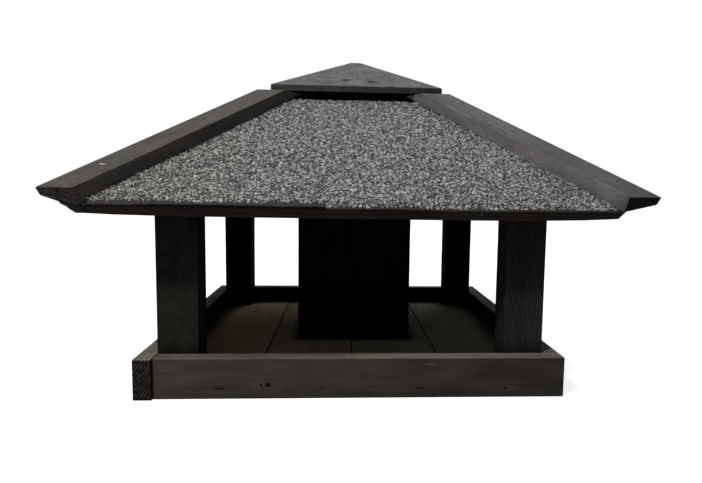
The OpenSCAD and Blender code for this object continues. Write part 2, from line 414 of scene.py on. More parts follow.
def makeStain(name, look):
    look = {**stainBasis, **look}
    material, tree, shader = newMaterial(name)
    board = {key: attribute(tree, label)["Vector"] for key, label in dict(
        place="boardPlace", half="boardHalf", pith="boardPith", tint="boardTint", paintedShades="boardShade",
        knots="knotSizes").items()}
    board["paintedShades"] = apart(board["paintedShades"])
    place, half = board["place"], board["half"]
    tone = attribute(tree, "boardTone")["Fac"]
    grain = useGroup(tree, grainGroup, place=place, pith=board["pith"], tone=tone, tilt=look["tilt"],
                     ringSpacing=look["ringSpacing"], patchScale=look["patchScale"])
    wearAndShade = useGroup(tree, wearAndShadeGroup, place=place, half=half, tone=tone, width=look["wearWidth"])
    # upward faces take the paler tops, partly dust and wear and partly a painted sheen
    colour = mixed(wearAndShade["tops"], *makeSides(tree, look, board, grain))
    colour = mixed(times(wearAndShade["edges"], wearAndShadeLook["edges"]), colour, opaque(look["rubbed"]))
    if "eave" in look:  # painted shade on the fascia under the edge of the felt
        deep = minus(apart(half)[2], apart(place)[2])
        colour = scaled(colour, between(deep, *look["eave"], *wearAndShadeLook["eave"], smooth=True))
    # painted shade on the tray floor beside the rails and round the silo
    if "paintedTrayShade" in look:
        colour = mixed(makePaintedShade(tree), colour, opaque(paintedShadeLook["colour"]))
    if "foot" in look:  # darker towards the near end, except on the tops
        low = plus(apart(place)[0], apart(half)[0])
        dirty = times(between(low, *look["foot"], wearAndShadeLook["foot"], 0.0, smooth=True),
                      minus(1.0, wearAndShade["tops"]))
        colour = mixed(dirty, colour, opaque(wearAndShadeLook["dirt"]))
    ringed = times(grain["rings"], look["endRings"], clamp=True)
    blotch = cloud(vectorTimes(place, wearAndShadeLook["endScale"]), 1.0, 3.0, 0.65)
    endShade = times(board["paintedShades"][2], between(blotch, 0.36, 0.64, *wearAndShadeLook["endRange"]))
    sawn = scaled(mixed(ringed, opaque(look["endPale"]), opaque(look["endDark"])), endShade)
    colour = mixed(attribute(tree, "boardEnd")["Fac"], colour, sawn)
    hues = [opaque([1 + c * look["hueSpread"] for c in lean]) for lean in wearAndShadeLook["hues"]]
    colour = vectorTimes(colour, mixed(grain["hue"], *hues))
    height = plus(times(grain["fibres"], wearAndShadeLook["fibreBump"]),
                  times(grain["rings"], look["rings"] * wearAndShadeLook["ringBump"]))
    sizes = apart(board["knots"])
    knots = [useGroup(tree, knotGroup, place=place, centre=attribute(tree, f"knot{number}")["Vector"],
                      size=sizes[number]) for number in range(knotCount)]
    for knot in knots:
        colour = mixed(times(knot["swirl"], wearAndShadeLook["swirl"]), colour, opaque(look["rubbed"]))
    heart = opaque([c * wearAndShadeLook["heartShade"] for c in look["dark"]])
    for knot in knots:
        colour = mixed(times(knot["heart"], wearAndShadeLook["heart"]), colour, heart)
        height = minus(height, times(knot["heart"], wearAndShadeLook["knotBump"]))
    # painted shade: the back face of a board, such as a rail's inner face, the cap's underside or a panel's
    # underside, goes towards near black
    colour = mixed(times(wearAndShade["back"], 1.0 - look["back"]), colour, opaque(wearAndShadeLook["backShade"]))
    put(shader["Base Color"], colour)
    rough = between(grain["fibres"], 0.2, 0.8, look["rough"] + 0.1, look["rough"] - 0.06)
    put(shader["Roughness"], plus(rough, times(wearAndShade["back"], 0.3), clamp=True))
    put(shader["Specular IOR Level"], look["shine"])
    roughen(shader, height, wearAndShadeLook["bump"])
    return material


def axesOf(along, facing):
    first = Vector(along).normalized()
    third = (Vector(facing) - first * first.dot(Vector(facing))).normalized()
    return first, third.cross(first), third


# merge and arris are in metres, flat in degrees, sharp in radians; cuts is how many go round an arris
boardMesh = dict(merge=0.00002, flat=0.5, sharp=0.15, cuts=3, arris=0.0007)


def makeBoard(node, slot, stain, along, facing, tone, pith=(0.02, -0.05), shade=(1, 1, 1), farPaintedShade=None,
              tint=(1, 1, 1), knots=(), dull=(0, 0, 0), shape=None, arris=boardMesh["arris"], body="feeder"):
    # the board keeps the shape of its node, with its arrises rubbed round. pith is across and below its
    # middle, shade is painted light and shade on its tops, flanks and ends, farPaintedShade is the same at
    # its far end, so that the painted light changes along the board, tint colours all but the ends and on
    # some boards gives the colour of the light on them, and dull is the middle, half length and strength of a
    # duller stretch of its tops
    bm = bmesh.new()
    bm.from_mesh(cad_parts[node].data)
    bmesh.ops.remove_doubles(bm, verts=bm.verts, dist=boardMesh["merge"])
    bmesh.ops.dissolve_limit(bm, angle_limit=math.radians(boardMesh["flat"]), verts=bm.verts, edges=bm.edges)
    if shape:
        shape(bm)
    axes = axesOf(along, facing)
    sawnWays = [face.normal.copy() for face in bm.faces if abs(face.normal.dot(axes[0])) > 0.5]
    arrises = [edge for edge in bm.edges if edge.calc_face_angle(0.0) > boardMesh["sharp"]]
    roundEdges(bm, arrises, arris, boardMesh["cuts"])
    bmesh.ops.triangulate(bm, faces=[face for face in bm.faces if len(face.verts) > 4])
    bm.verts.index_update()
    sawnFaces = [face for face in bm.faces if any(face.normal.dot(way) > 0.999 for way in sawnWays)]
    sawn = {vertex.index for face in sawnFaces for vertex in face.verts}
    mesh = finishMesh(bm, node.removesuffix("_board") + ".board")
    spots = [[vertex.co.dot(axis) for axis in axes] for vertex in mesh.vertices]
    lows, highs = [min(column) for column in zip(*spots)], [max(column) for column in zip(*spots)]
    middle = [(a + b) / 2 for a, b in zip(lows, highs)]
    knots = [*knots, *[(0, 0, 0)] * (knotCount - len(knots))]
    wholeBoard = dict(boardHalf=[(b - a) / 2 for a, b in zip(lows, highs)], boardPith=(0, *pith),
                      boardTint=tint, boardDull=dull, knotSizes=[size for *spot, size in knots],
                      **{f"knot{number}": (*spot, 0) for number, (*spot, size) in enumerate(knots)})
    for label, value in wholeBoard.items():
        giveAttribute(mesh, label, "FLOAT_VECTOR", [value] * len(spots))
    giveAttribute(mesh, "boardTone", "FLOAT", [tone] * len(spots))
    giveAttribute(mesh, "boardPlace", "FLOAT_VECTOR",
                  [[a - b for a, b in zip(spot, middle)] for spot in spots])
    parts = [(spot[0] - lows[0]) / (highs[0] - lows[0]) for spot in spots]
    giveAttribute(mesh, "boardShade", "FLOAT_VECTOR",
                  [[a + (b - a) * part for a, b in zip(shade, farPaintedShade or shade)] for part in parts])
    giveAttribute(mesh, "boardEnd", "FLOAT", [float(index in sawn) for index in range(len(spots))])
    return addPiece(mesh, woods[stain], [node], body)


woods = {name: makeStain(name, look) for name, look in stains.items()}
print("finishes made")

draws = random.Random(7)
outwards = dict(front=Vector((0, -1, 0)), back=Vector((0, 1, 0)), left=Vector((-1, 0, 0)),
                right=Vector((1, 0, 0)))
railTint = (1.01, 0.985, 0.955)
# each rail's shade and farPaintedShade are painted light and shade that change along it; the front rail's
# face darkens towards its right end and its top brightens there as a painted sheen
railLooks = dict(
    front=dict(pith=(-0.03, -0.055), shade=(1.01, 1.19, 1.0), farPaintedShade=(1.66, 0.76, 1.0),
               dull=(-0.072, 0.066, 0.2),
               knots=((-0.0873, -0.0059, 0.0025), (-0.0937, -0.0059, 0.0013), (0.1352, -0.0102, 0.0014))),
    back=dict(pith=(0.03, -0.06), shade=(1.2, 0.9, 1.0), farPaintedShade=(1.0, 0.9, 1.0), dull=(0.06, 0.05, 0.4),
              knots=((0.071, 0.004, 0.003), (-0.122, -0.008, 0.0016))),
    left=dict(pith=(0.055, 0.079), shade=(0.7, 0.9, 1.0), farPaintedShade=(1.45, 0.9, 1.12), dull=(0.02, 0.06, 0.4),
              knots=((0.044, -0.002, 0.0026), (-0.13, 0.007, 0.0014))),
    right=dict(pith=(0.02, -0.04), shade=(1.3, 0.9, 1.0), farPaintedShade=(0.85, 0.8, 1.0), dull=(-0.08, 0.05, 0.4),
               knots=((-0.058, 0.003, 0.0024), (0.101, -0.007, 0.0018), (0.107, -0.006, 0.001))))
for side, facing in outwards.items():
    makeBoard(f"{side}_rail", "stained_rail", "railStain", Vector((0, 0, 1)).cross(facing), facing,
              draws.random(), tint=railTint, **railLooks[side])

# shades are painted light: they lighten each floor board's tops and flanks
floorLook = dict(pith=(0.01, -0.05), paintedShades=(2.7, 2.35, 2.2, 2.15), knotAlong=(0.05, 0.15),
                 knotAcross=(-0.03, 0.03), knotSize=0.003,
                 tints=((1.16, 1.01, 0.83), (1.09, 1.0, 0.92), (1.02, 1.06, 1.02), (1.03, 1.07, 1.08)))
for number, (shade, tint) in enumerate(zip(floorLook["paintedShades"], floorLook["tints"]), 1):
    tone = draws.random()
    knot = (*(draws.uniform(*floorLook[way]) for way in ("knotAlong", "knotAcross")), floorLook["knotSize"])
    makeBoard(f"floor_board_{number}", "stained_floor", "floorStain", (0, 1, 0), (0, 0, 1), tone,
              floorLook["pith"], (shade, shade, 1), tint=tint, knots=(knot,))

tongueLook = dict(width=0.0016, low=0.006, high=0.0125, short=0.002)  # loose tongues close the floor's joints
bm = bmesh.new()
for number in (1, 2, 3):
    before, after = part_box(f"floor_board_{number}"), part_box(f"floor_board_{number + 1}")
    middle = ((before[1].x + after[0].x) / 2, (before[0].y + before[1].y) / 2,
              before[0].z + (tongueLook["low"] + tongueLook["high"]) / 2)
    sizes = (tongueLook["width"], before[1].y - before[0].y - tongueLook["short"],
             tongueLook["high"] - tongueLook["low"])
    bmesh.ops.create_cube(bm, size=1.0, matrix=Matrix.Translation(middle) @ Matrix.Diagonal((*sizes, 1)))
addPiece(finishMesh(bm, "floor_tongues"), woods["rearStain"])

# shade and farPaintedShade paint the posts' light and shade: their faces lighter below and darker towards the
# top, where the eave's shade falls
postLooks = dict(
    front_left=dict(stain="postStain", pith=(0.003, -0.019), shade=(1, 1.22, 1), tint=(1.04, 1.0, 0.92)),
    front_right=dict(stain="postStain", pith=(0.045, -0.05), shade=(1, 1.6, 1), farPaintedShade=(1, 0.7, 1),
                     tint=(0.98, 1.0, 1.05)))
rearPost = dict(stain="rearStain", pith=(0.012, -0.03), shade=(1, 1, 1), farPaintedShade=(1, 0.5, 1))
for corner in ("front_left", "front_right", "back_left", "back_right"):
    makeBoard(f"post_{corner}", "black_post", along=(0, 0, 1), facing=outwards[corner.split("_")[0]],
              tone=draws.random(), **{**rearPost, **postLooks.get(corner, {})})
# shade and farPaintedShade paint the silo's shade: the front board dark at its foot and lighter higher up,
# the other boards darker towards their tops
siloLooks = dict(front=dict(shade=(1, 0.2, 1), farPaintedShade=(1, 1.8, 1)))
siloRest = dict(pith=(0.01, -0.08), shade=(1, 0.7, 1), farPaintedShade=(0.1, 0.1, 0.1))
for face, facing in outwards.items():
    makeBoard(f"silo_{face}_board", "black_silo", "siloStain", (0, 0, 1), facing, draws.random(),
              **{**siloRest, **siloLooks.get(face, {})})
sideTurns = dict(front=0, right=1, back=2, left=3)
print("boards of the tray, posts and silo made")

# the roof

def sectionPoint(nodeName, score):
    # the point of a front slope's section, as (out, height), whose score is highest
    vertex = max(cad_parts[nodeName].data.vertices, key=lambda v: score(-v.co.y, v.co.z))
    return Vector((-vertex.co.y, vertex.co.z))


def held(value, low=0.0, high=1.0):
    return min(max(value, low), high)


feltTop = sectionPoint("roofing_felt_front", lambda out, up: up)
feltCorner = sectionPoint("roofing_felt_front", lambda out, up: out)
panelFoot = sectionPoint("roof_panel_front", lambda out, up: -up)
downhill = (feltCorner - feltTop).normalized()
outward = Vector((-downhill.y, downhill.x))
slope = math.atan2(-downhill.y, downhill.x)
slopeFacing = Vector((0, -outward.x, outward.y))  # the front slope's normal
# a panel's foot bows down between its mitres, a little more at its right; clear is left flat at each end
panelBow = dict(sag=0.0032, lean=0.0004, leanOver=0.12, half=0.238, clear=0.013, cuts=15, level=0.0002)


def bowFoot(spin):
    def shape(bm):
        low = min(vertex.co.z for vertex in bm.verts) + panelBow["level"]
        foot = [edge for edge in bm.edges if all(vertex.co.z < low for vertex in edge.verts)]
        bmesh.ops.subdivide_edges(bm, edges=foot, cuts=panelBow["cuts"])
        for vertex in bm.verts:
            x = (spin.inverted() @ vertex.co).x
            if vertex.co.z < low and abs(x) < feltCorner.x - panelBow["clear"]:
                bow = panelBow["sag"] + panelBow["lean"] * held(x / panelBow["leanOver"], -1.0)
                vertex.co -= spin @ slopeFacing * bow * (1 - (abs(x) / panelBow["half"]) ** 4)
    return shape


def spinOf(turn):
    return Matrix.Rotation(turn * math.pi / 2, 3, "Z")  # from the front to a side, in quarter turns


for side, turn in sideTurns.items():
    spin = spinOf(turn)
    makeBoard(f"roof_panel_{side}", "roof_panel", "panelStain", spin @ Vector((1, 0, 0)), spin @ slopeFacing,
              draws.random(), shape=bowFoot(spin))
hipEnds = dict(front_left=(0, 1), front_right=(0, -1), right_front=(1, 1), right_back=(1, -1),
               back_right=(2, 1), back_left=(2, -1), left_back=(3, 1), left_front=(3, -1))  # turn, lean
# shade is painted light and shade on the hips' tops, flanks and sawn feet: the front right board's side is
# made bright and bluish as a painted sheen, its foot and the right front board's foot dark as painted shade
hipRest = dict(shade=(1.0, 1.2, 0.7))
hipLooks = dict(front_left=dict(shade=(0.73, 1.3, 0.8), tint=(1.05, 1.0, 0.95)),
                front_right=dict(shade=(1.02, 2.95, 0.1), tint=(0.965, 1.0, 1.04)),
                left_front=dict(shade=(1.0, 1.0, 0.8)), right_front=dict(shade=(1.0, 1.0, 0.3)))
# a foot's outer lower corner is sawn back, with this much of its edge left, and bulges a little; its inner
# corner sags; longer says how much farther down than the others a board was left
hipCut = dict(back=0.0045, keep=0.58, bulge=0.0019, sag=0.002, longer=dict(front_right=0.0028), foot=0.012,
              level=0.0005, near=0.0003, cut=0.00001, arris=0.0006)


def footCut(turn, lean, longer):
    # the cut is through the foot's outer edge, its inner lower corner and a point up its lower mitred arris
    turned = spinOf(turn) @ Matrix.Diagonal((lean, 1, 1))  # from the front left board's place to this one's
    back = turned.inverted()

    def shape(bm):
        lowest = min((back @ vertex.co).y for vertex in bm.verts)
        for vertex in bm.verts:
            if (back @ vertex.co).y < lowest + hipCut["foot"]:
                vertex.co -= turned @ Vector((1, 1, math.tan(slope))).normalized() * longer
        spots = [back @ vertex.co for vertex in bm.verts]
        lowest = min(spot.y for spot in spots)
        foot = [spot for spot in spots if spot.y < lowest + hipCut["foot"]]
        topOuter = min(foot, key=lambda spot: (round(spot.y, 4), spot.x))
        low = min(spot.z for spot in foot)
        lower = [spot for spot in foot if spot.z < low + hipCut["level"]]
        inner, outer = max(lower, key=lambda spot: spot.x), min(lower, key=lambda spot: spot.x)
        raised = outer + Vector((1, 1, math.tan(slope))) * hipCut["back"]
        start = topOuter.lerp(outer, hipCut["keep"])
        normal = (inner - start).cross(raised - start).normalized()
        if normal.dot(outer - raised) < 0:
            normal = -normal
        cut = bmesh.ops.bisect_plane(bm, geom=bm.verts[:] + bm.edges[:] + bm.faces[:], dist=hipCut["cut"],
                                     plane_co=turned @ start, plane_no=turned @ normal, clear_outer=True)
        rim = [piece for piece in cut["geom_cut"] if isinstance(piece, bmesh.types.BMEdge)]
        bmesh.ops.holes_fill(bm, edges=rim, sides=0)
        for vertex in bm.verts:
            spot = back @ vertex.co
            if (spot - start).length < hipCut["near"]:
                vertex.co += turned @ Vector((-1, -1, 0)) * hipCut["bulge"]
            elif (spot - inner).length < hipCut["near"]:
                vertex.co.z -= hipCut["sag"]
        bmesh.ops.connect_verts_nonplanar(bm, angle_limit=math.radians(boardMesh["flat"]), faces=bm.faces[:])
        bmesh.ops.recalc_face_normals(bm, faces=bm.faces)
    return shape


hipKnot = ((-0.12, 0.12), (-0.005, 0.005), (0.001, 0.002))  # along, across, size
for ends, (turn, lean) in hipEnds.items():
    spin = spinOf(turn)
    tone = draws.random()
    knot = [draws.uniform(*reach) for reach in hipKnot]
    makeBoard(f"hip_board_{ends}", "hip_board", "hipStain", spin @ Vector((lean, 1, math.tan(slope))),
              spin @ slopeFacing, tone, (0.008 * lean, -0.012), knots=(knot,), arris=hipCut["arris"],
              shape=footCut(turn, lean, hipCut["longer"].get(ends, 0.0)), **hipLooks.get(ends, hipRest))
# shade and farPaintedShade are painted light and shade on the cap: its edges darker towards its right
capLook = dict(tone=0.6, pith=(0.03, -0.09), shade=(0.84, 1.24, 0.5), farPaintedShade=(0.77, 0.63, 0.5),
               arris=0.001,
               knots=((-0.0122, -0.0724, 0.004), (0.0154, -0.0753, 0.0048), (0.041, 0.048, 0.004)))
# the plug is darkened as painted shade in the gap under the cap
plugLook = dict(tone=0.3, shade=(0.3, 0.2, 0.3))
makeBoard("roof_cap", "cap_wood", "capStain", (1, 0, 0), (0, 0, 1), body="cap", **capLook)
makeBoard("cap_plug", "cap_wood", "siloStain", (1, 0, 0), (0, 0, 1), body="cap", **plugLook)
print("roof boards and cap made")

feltLook = dict(
    bitumen=(0.016, 0.0155, 0.015), grit=(0.064, 0.061, 0.058), thickness=0.0013, columns=260, rows=20,
    lipRows=10, chipHeight=0.001, lump=0.0005, fold=0.0015, hang=(0.28, -0.96), hangVary=(0.12, 0.03),
    hugFrom=0.93, hugOver=0.055, ragged=0.0004,
    trimFrom=dict(front=0.95, right=0.88, back=0.95, left=0.88), trimOver=0.035, cornerCut=0.004,
    folds=(("front", False), ("left", True)), foldFrom=0.922, foldLength=0.015, foldSquash=0.72,
    foldBulge=0.0019, foldShade=0.35, bulgeFrom=0.955, bulgeOver=0.045, lumpScale=18, turnRate=2.2,
    turnTo=0.5, hugTurn=0.4, hugShort=0.2, trimShort=0.7, gritScale=1500.0, bump=0.0005)
lipSteps = dict(  # how far the drooping edge hangs over each eave, and how much of that carries chips
    front=((-0.242, 0.0052, 0.38), (-0.2, 0.0046, 0.42), (-0.15, 0.004, 0.46), (-0.105, 0.004, 0.46),
           (-0.06, 0.0047, 0.42), (-0.0256, 0.0047, 0.45), (-0.025, 0.0066, 0.78), (0.04, 0.0064, 0.74),
           (0.085, 0.0074, 0.8), (0.115, 0.0074, 0.8), (0.16, 0.0067, 0.76), (0.242, 0.006, 0.78)),
    right=((-0.242, 0.006, 0.8), (0.02, 0.0066, 0.8), (0.0206, 0.0054, 0.6), (0.242, 0.0062, 0.7)),
    back=((-0.242, 0.0066, 0.8), (-0.1, 0.006, 0.7), (-0.0994, 0.007, 0.8), (0.242, 0.0058, 0.7)),
    left=((-0.242, 0.0056, 0.7), (0.09, 0.0066, 0.8), (0.0906, 0.0058, 0.5), (0.242, 0.0054, 0.5)))


def lipAt(side, along):
    steps = lipSteps[side]
    length, cover = steps[-1][1:]
    for (lowAt, *low), (highAt, *high) in zip(steps, steps[1:]):
        if along < highAt:
            part = max(0.0, along - lowAt) / (highAt - lowAt)
            length, cover = (a + (b - a) * part for a, b in zip(low, high))
            break
    for scale, seed in ((300, 0), (40, 5)):
        length += noise.noise(Vector((along * scale, sideTurns[side] * 10.0, seed))) * feltLook["ragged"]
    return length, cover


def isFolded(side, across):
    return (side, across > 0) in feltLook["folds"]  # the corner where the felt is folded right down


def feltSpot(side, across, row):
    # across runs from -1 to 1 between the hips; the rows run down the slope, then over the drooping edge
    start = feltTop - outward * feltLook["chipHeight"]
    corner = feltCorner - (outward + downhill) * feltLook["chipHeight"]
    folded = isFolded(side, across) and abs(across) > feltLook["foldFrom"]
    trimmed = 0.0 if folded else held((abs(across) - feltLook["trimFrom"][side]) / feltLook["trimOver"])
    crease = corner - downhill * (feltLook["fold"] + feltLook["cornerCut"] * trimmed)
    if row <= feltLook["rows"]:
        spot = start + (crease - start) * row / feltLook["rows"]
        flat = Vector((across * spot.x, (spot - start).length)) * feltLook["lumpScale"]
        lump = noise.noise(Vector((*flat, sideTurns[side] * 7.0)))
        spot = spot + outward * feltLook["lump"] * lump
        return Vector((across * spot.x, -spot.x, spot.y))
    part = (row - feltLook["rows"]) / feltLook["lipRows"]
    # by the mitres the edge is pressed against the panel
    hug = 1.0 if folded else held((abs(across) - feltLook["hugFrom"]) / feltLook["hugOver"])
    vary = noise.noise(Vector((across * 5, 3, sideTurns[side] * 9.0)))
    hang = (Vector(feltLook["hang"]) + Vector(feltLook["hangVary"]) * vary).lerp(-outward, hug)
    turned = min(part * feltLook["turnRate"], 1.0) * (feltLook["turnTo"] + feltLook["hugTurn"] * hug)
    shorter = 1 - feltLook["hugShort"] * hug - feltLook["trimShort"] * trimmed
    length = (lipAt(side, across * corner.x)[0] * shorter + feltLook["fold"]) * part
    if folded:
        length = feltLook["foldLength"] * part
        across = math.copysign(1 - (1 - abs(across)) * (1 - feltLook["foldSquash"] * part), across)
    spot = crease + (downhill * (1 - turned) + hang * turned).normalized() * length
    if folded:  # the corner of the flap stands off a little
        near = held((abs(across) - feltLook["bulgeFrom"]) / feltLook["bulgeOver"])
        spot += downhill * feltLook["foldBulge"] * near * math.sin(math.pi * min(part * 1.05, 1.0))
    return Vector((across * spot.x, -spot.x, spot.y))


def makeFeltSheet(side):
    bm = bmesh.new()
    total = feltLook["rows"] + feltLook["lipRows"]
    bmesh.ops.create_grid(bm, x_segments=feltLook["columns"], y_segments=total, size=1.0)
    spin = spinOf(sideTurns[side])
    for vertex in bm.verts:
        vertex.co = spin @ feltSpot(side, vertex.co.x, round((1 - vertex.co.y) / 2 * total))
    bmesh.ops.recalc_face_normals(bm, faces=bm.faces)
    if sum(face.normal.z for face in bm.faces) < 0:
        bmesh.ops.reverse_faces(bm, faces=bm.faces)
    mesh = finishMesh(bm, f"felt_{side}", smooth=True)
    spots = [spin.inverted() @ vertex.co for vertex in mesh.vertices]
    # the folded flaps at the corners are darkened as painted shade
    shaded = [isFolded(side, spot.x) and spot.z < feltCorner.y and abs(spot.x) > chipLook["cornersBare"]
              for spot in spots]
    giveAttribute(mesh, "foldShade", "FLOAT", [feltLook["foldShade"] if dark else 1.0 for dark in shaded])
    return mesh


chipShape = dict(kinds=10, sides=(4, 4, 5), top=(0.28, 0.44), depth=(0.38, 0.55), across=(-0.15, 0.15),
                 up=(-0.1, 0.14), stretch=(0.85, 1.2))


def makeChip(number):
    # a crushed stone chip a few faces in size
    draw = random.Random(100 + number)
    bm = bmesh.new()
    bmesh.ops.create_cone(bm, cap_ends=True, cap_tris=False, segments=draw.choice(chipShape["sides"]),
                          radius1=0.5, radius2=draw.uniform(*chipShape["top"]),
                          depth=draw.uniform(*chipShape["depth"]))
    for vertex in bm.verts:
        vertex.co += Vector([draw.uniform(*chipShape[way]) for way in ("across", "across", "up")])
        vertex.co.x *= draw.uniform(*chipShape["stretch"])
    bmesh.ops.recalc_face_normals(bm, faces=bm.faces)
    return bpy.data.objects.new(f"chip{number}", finishMesh(bm, f"chip{number}"))


chipKinds = bpy.data.collections.new("chipKinds")
for number in range(chipShape["kinds"]):
    chipKinds.objects.link(makeChip(number))

chipLook = dict(spacing=0.0015, density=640000, smallest=0.0019, largest=0.0033,
                dark=(0.062, 0.062, 0.061), pale=(0.399, 0.396, 0.39), fleck=(0.06, 0.06, 0.061),
                cornersBare=0.2222, edgeShare=0.93, lean=0.35, turn=6.28, fleckScale=2200.0, bump=0.0002,
                warmTint=(0.95, 0.922, 0.895), warmFrom=-0.2, warmTo=-0.02,
                dimFrom=0.235, dimTo=0.285, dimmest=0.9)  # warmer to the left, and darker to the top as painted shade


def scatterTree(seed):
    tree = bpy.data.node_groups.new(f"scatterChips{seed}", "GeometryNodeTree")
    for way in ("INPUT", "OUTPUT"):
        tree.interface.new_socket("Geometry", in_out=way, socket_type="NodeSocketGeometry")
    source, target = tree.nodes.new("NodeGroupInput"), tree.nodes.new("NodeGroupOutput")

    def add(kind, sockets, **settings):
        step = tree.nodes.new(kind)
        for key, value in settings.items():
            setattr(step, key, value)
        for key, value in sockets.items():
            put(step.inputs[key], value)
        return step.outputs

    def randomValue(kind, low, high, number):
        draw = tree.nodes.new("FunctionNodeRandomValue")
        draw.data_type = kind
        values = dict(Min=low, Max=high, Seed=number)
        for socket in draw.inputs:
            if socket.enabled and socket.name in values:
                put(socket, values[socket.name])
        return next(socket for socket in draw.outputs if socket.enabled)

    amount = add("GeometryNodeInputNamedAttribute", {"Name": "chipAmount"}, data_type="FLOAT")
    points = add("GeometryNodeDistributePointsOnFaces", {
        "Mesh": source.outputs[0], "Distance Min": chipLook["spacing"], "Density Max": chipLook["density"],
        "Density Factor": amount["Attribute"], "Seed": seed}, distribute_method="POISSON")
    kinds = add("GeometryNodeCollectionInfo", {
        "Collection": chipKinds, "Separate Children": True, "Reset Children": True})
    tip = chipLook["lean"]
    lean = add("FunctionNodeEulerToRotation", {
        0: randomValue("FLOAT_VECTOR", (-tip, -tip, 0.0), (tip, tip, chipLook["turn"]), 3)})
    turn = add("FunctionNodeRotateRotation", {
        "Rotation": points["Rotation"], "Rotate By": lean[0]}, rotation_space="LOCAL")
    spread = add("GeometryNodeInstanceOnPoints", {
        "Points": points["Points"], "Instance": kinds[0], "Pick Instance": True, "Rotation": turn[0],
        "Scale": randomValue("FLOAT", chipLook["smallest"], chipLook["largest"], 5)})
    toned = add("GeometryNodeStoreNamedAttribute", {
        "Geometry": spread[0], "Name": "chipTone", "Value": randomValue("FLOAT", 0.0, 1.0, 9)},
        data_type="FLOAT", domain="INSTANCE")
    put(target.inputs[0], add("GeometryNodeRealizeInstances", {0: toned[0]})[0])
    return tree


def makeChips(side, sheet, part, lowest, highest):
    # chips lie on the rows whose share of the way down the felt is between lowest and highest
    name = f"felt_chips_{side}_{part}"
    holder = addObject(name, sheet.copy())
    amounts = []
    for vertex in holder.data.vertices:
        spot = spinOf(-sideTurns[side]) @ vertex.co
        length, cover = lipAt(side, spot.x)
        fallen = feltCorner.y - spot.z
        onFold = fallen > 0 and abs(spot.x) > chipLook["cornersBare"] and isFolded(side, spot.x)
        share = (feltTop.y - spot.z) / (feltTop.y - feltCorner.y)
        chipped = lowest <= share < highest and fallen < length * cover * chipLook["edgeShare"]
        amounts.append(float(chipped and not onFold))
    giveAttribute(holder.data, "chipAmount", "FLOAT", amounts)
    scatter = holder.modifiers.new("scatter", "NODES")
    scatter.node_group = scatterTree(11 + sideTurns[side] * 2 + (lowest < 0))
    graph = bpy.context.evaluated_depsgraph_get()
    mesh = bpy.data.meshes.new_from_object(holder.evaluated_get(graph), preserve_all_data_layers=True,
                                           depsgraph=graph)
    bpy.data.objects.remove(holder)
    mesh.name = name
    return mesh


def makeFeltMaterials():
    base, tree, shader = newMaterial("feltBitumen")
    spot = objectPlace(tree)
    grit = cloud(spot, feltLook["gritScale"], 3.0, 0.7)
    ends = [opaque(feltLook[key]) for key in ("bitumen", "grit")]
    colour = mixed(between(grit, 0.42, 0.68), *ends)
    put(shader["Base Color"], scaled(colour, attribute(tree, "foldShade")["Fac"]))
    put(shader["Roughness"], 0.8)
    put(shader["Specular IOR Level"], 0.2)
    roughen(shader, grit, feltLook["bump"])
    chips, tree, shader = newMaterial("stoneChips")
    tone = attribute(tree, "chipTone")["Fac"]
    spot = objectPlace(tree)
    x, y, z = apart(spot)
    patch = between(cloud(spot, 22.0, 2.0, 0.5), 0.3, 0.7, -0.05, 0.05)
    warm = between(x, chipLook["warmFrom"], chipLook["warmTo"], 1.0, 0.0, smooth=True)
    shade = plus(maths("POWER", tone, 0.9), patch, clamp=True)
    colour = mixed(shade, opaque(chipLook["dark"]), opaque(chipLook["pale"]))
    fleck = cloud(spot, chipLook["fleckScale"], 2.0, 0.6)
    colour = mixed(between(fleck, 0.35, 0.75, 0.0, 0.35), colour, opaque(chipLook["fleck"]))
    colour = vectorTimes(colour, mixed(warm, (1.0, 1.0, 1.0, 1), opaque(chipLook["warmTint"])))
    # painted shade: the chips darken towards the top of the felt
    dim = between(z, chipLook["dimFrom"], chipLook["dimTo"], 1.0, chipLook["dimmest"])
    put(shader["Base Color"], scaled(colour, dim))
    put(shader["Roughness"], between(fleck, 0.3, 0.7, 0.8, 0.6))
    put(shader["Specular IOR Level"], 0.3)
    roughen(shader, fleck, chipLook["bump"])
    return base, chips


feltBase, chipStone = makeFeltMaterials()
chipParts = dict(upper=(-1.0, 0.62), lower=(0.62, 9.0))
for side in sideTurns:
    sheetMesh = makeFeltSheet(side)
    chipMeshes = {part: makeChips(side, sheetMesh, part, *reach) for part, reach in chipParts.items()}
    sheet = addPiece(sheetMesh, feltBase, [f"roofing_felt_{side}"])
    wall = sheet.modifiers.new("wall", "SOLIDIFY")
    wall.thickness = feltLook["thickness"]
    wall.offset = -1
    for part, chipMesh in chipMeshes.items():
        addPiece(chipMesh, chipStone)
        print("felt", side, part, sum(len(f.vertices) - 2 for f in chipMesh.polygons), "chip triangles")


# staples that hold the boards

stapleLook = dict(railWire=0.0016, hipWire=0.001, proud=0.00025, leg=0.006, rounding=0.0003,
                  dark=(0.0022, 0.0019, 0.0017), zinc=(0.5, 0.49, 0.46), rust=(0.33, 0.3, 0.26),
                  dull=(0.1, 0.097, 0.09), speckScale=900.0, bump=0.0001, head=0.001, headTaper=0.38)


def makeStapleMetal(name, colour, worn, metallic, rough):
    material, tree, shader = newMaterial(name)
    spot = objectPlace(tree)
    speck = cloud(spot, stapleLook["speckScale"], 3.0, 0.6)
    put(shader["Base Color"], mixed(between(speck, 0.45, 0.7), opaque(colour), opaque(worn)))
    put(shader["Roughness"], between(speck, 0.3, 0.7, rough, rough + 0.2))
    put(shader["Metallic"], metallic)
    put(shader["Specular IOR Level"], 0.15)
    roughen(shader, speck, stapleLook["bump"])
    return material


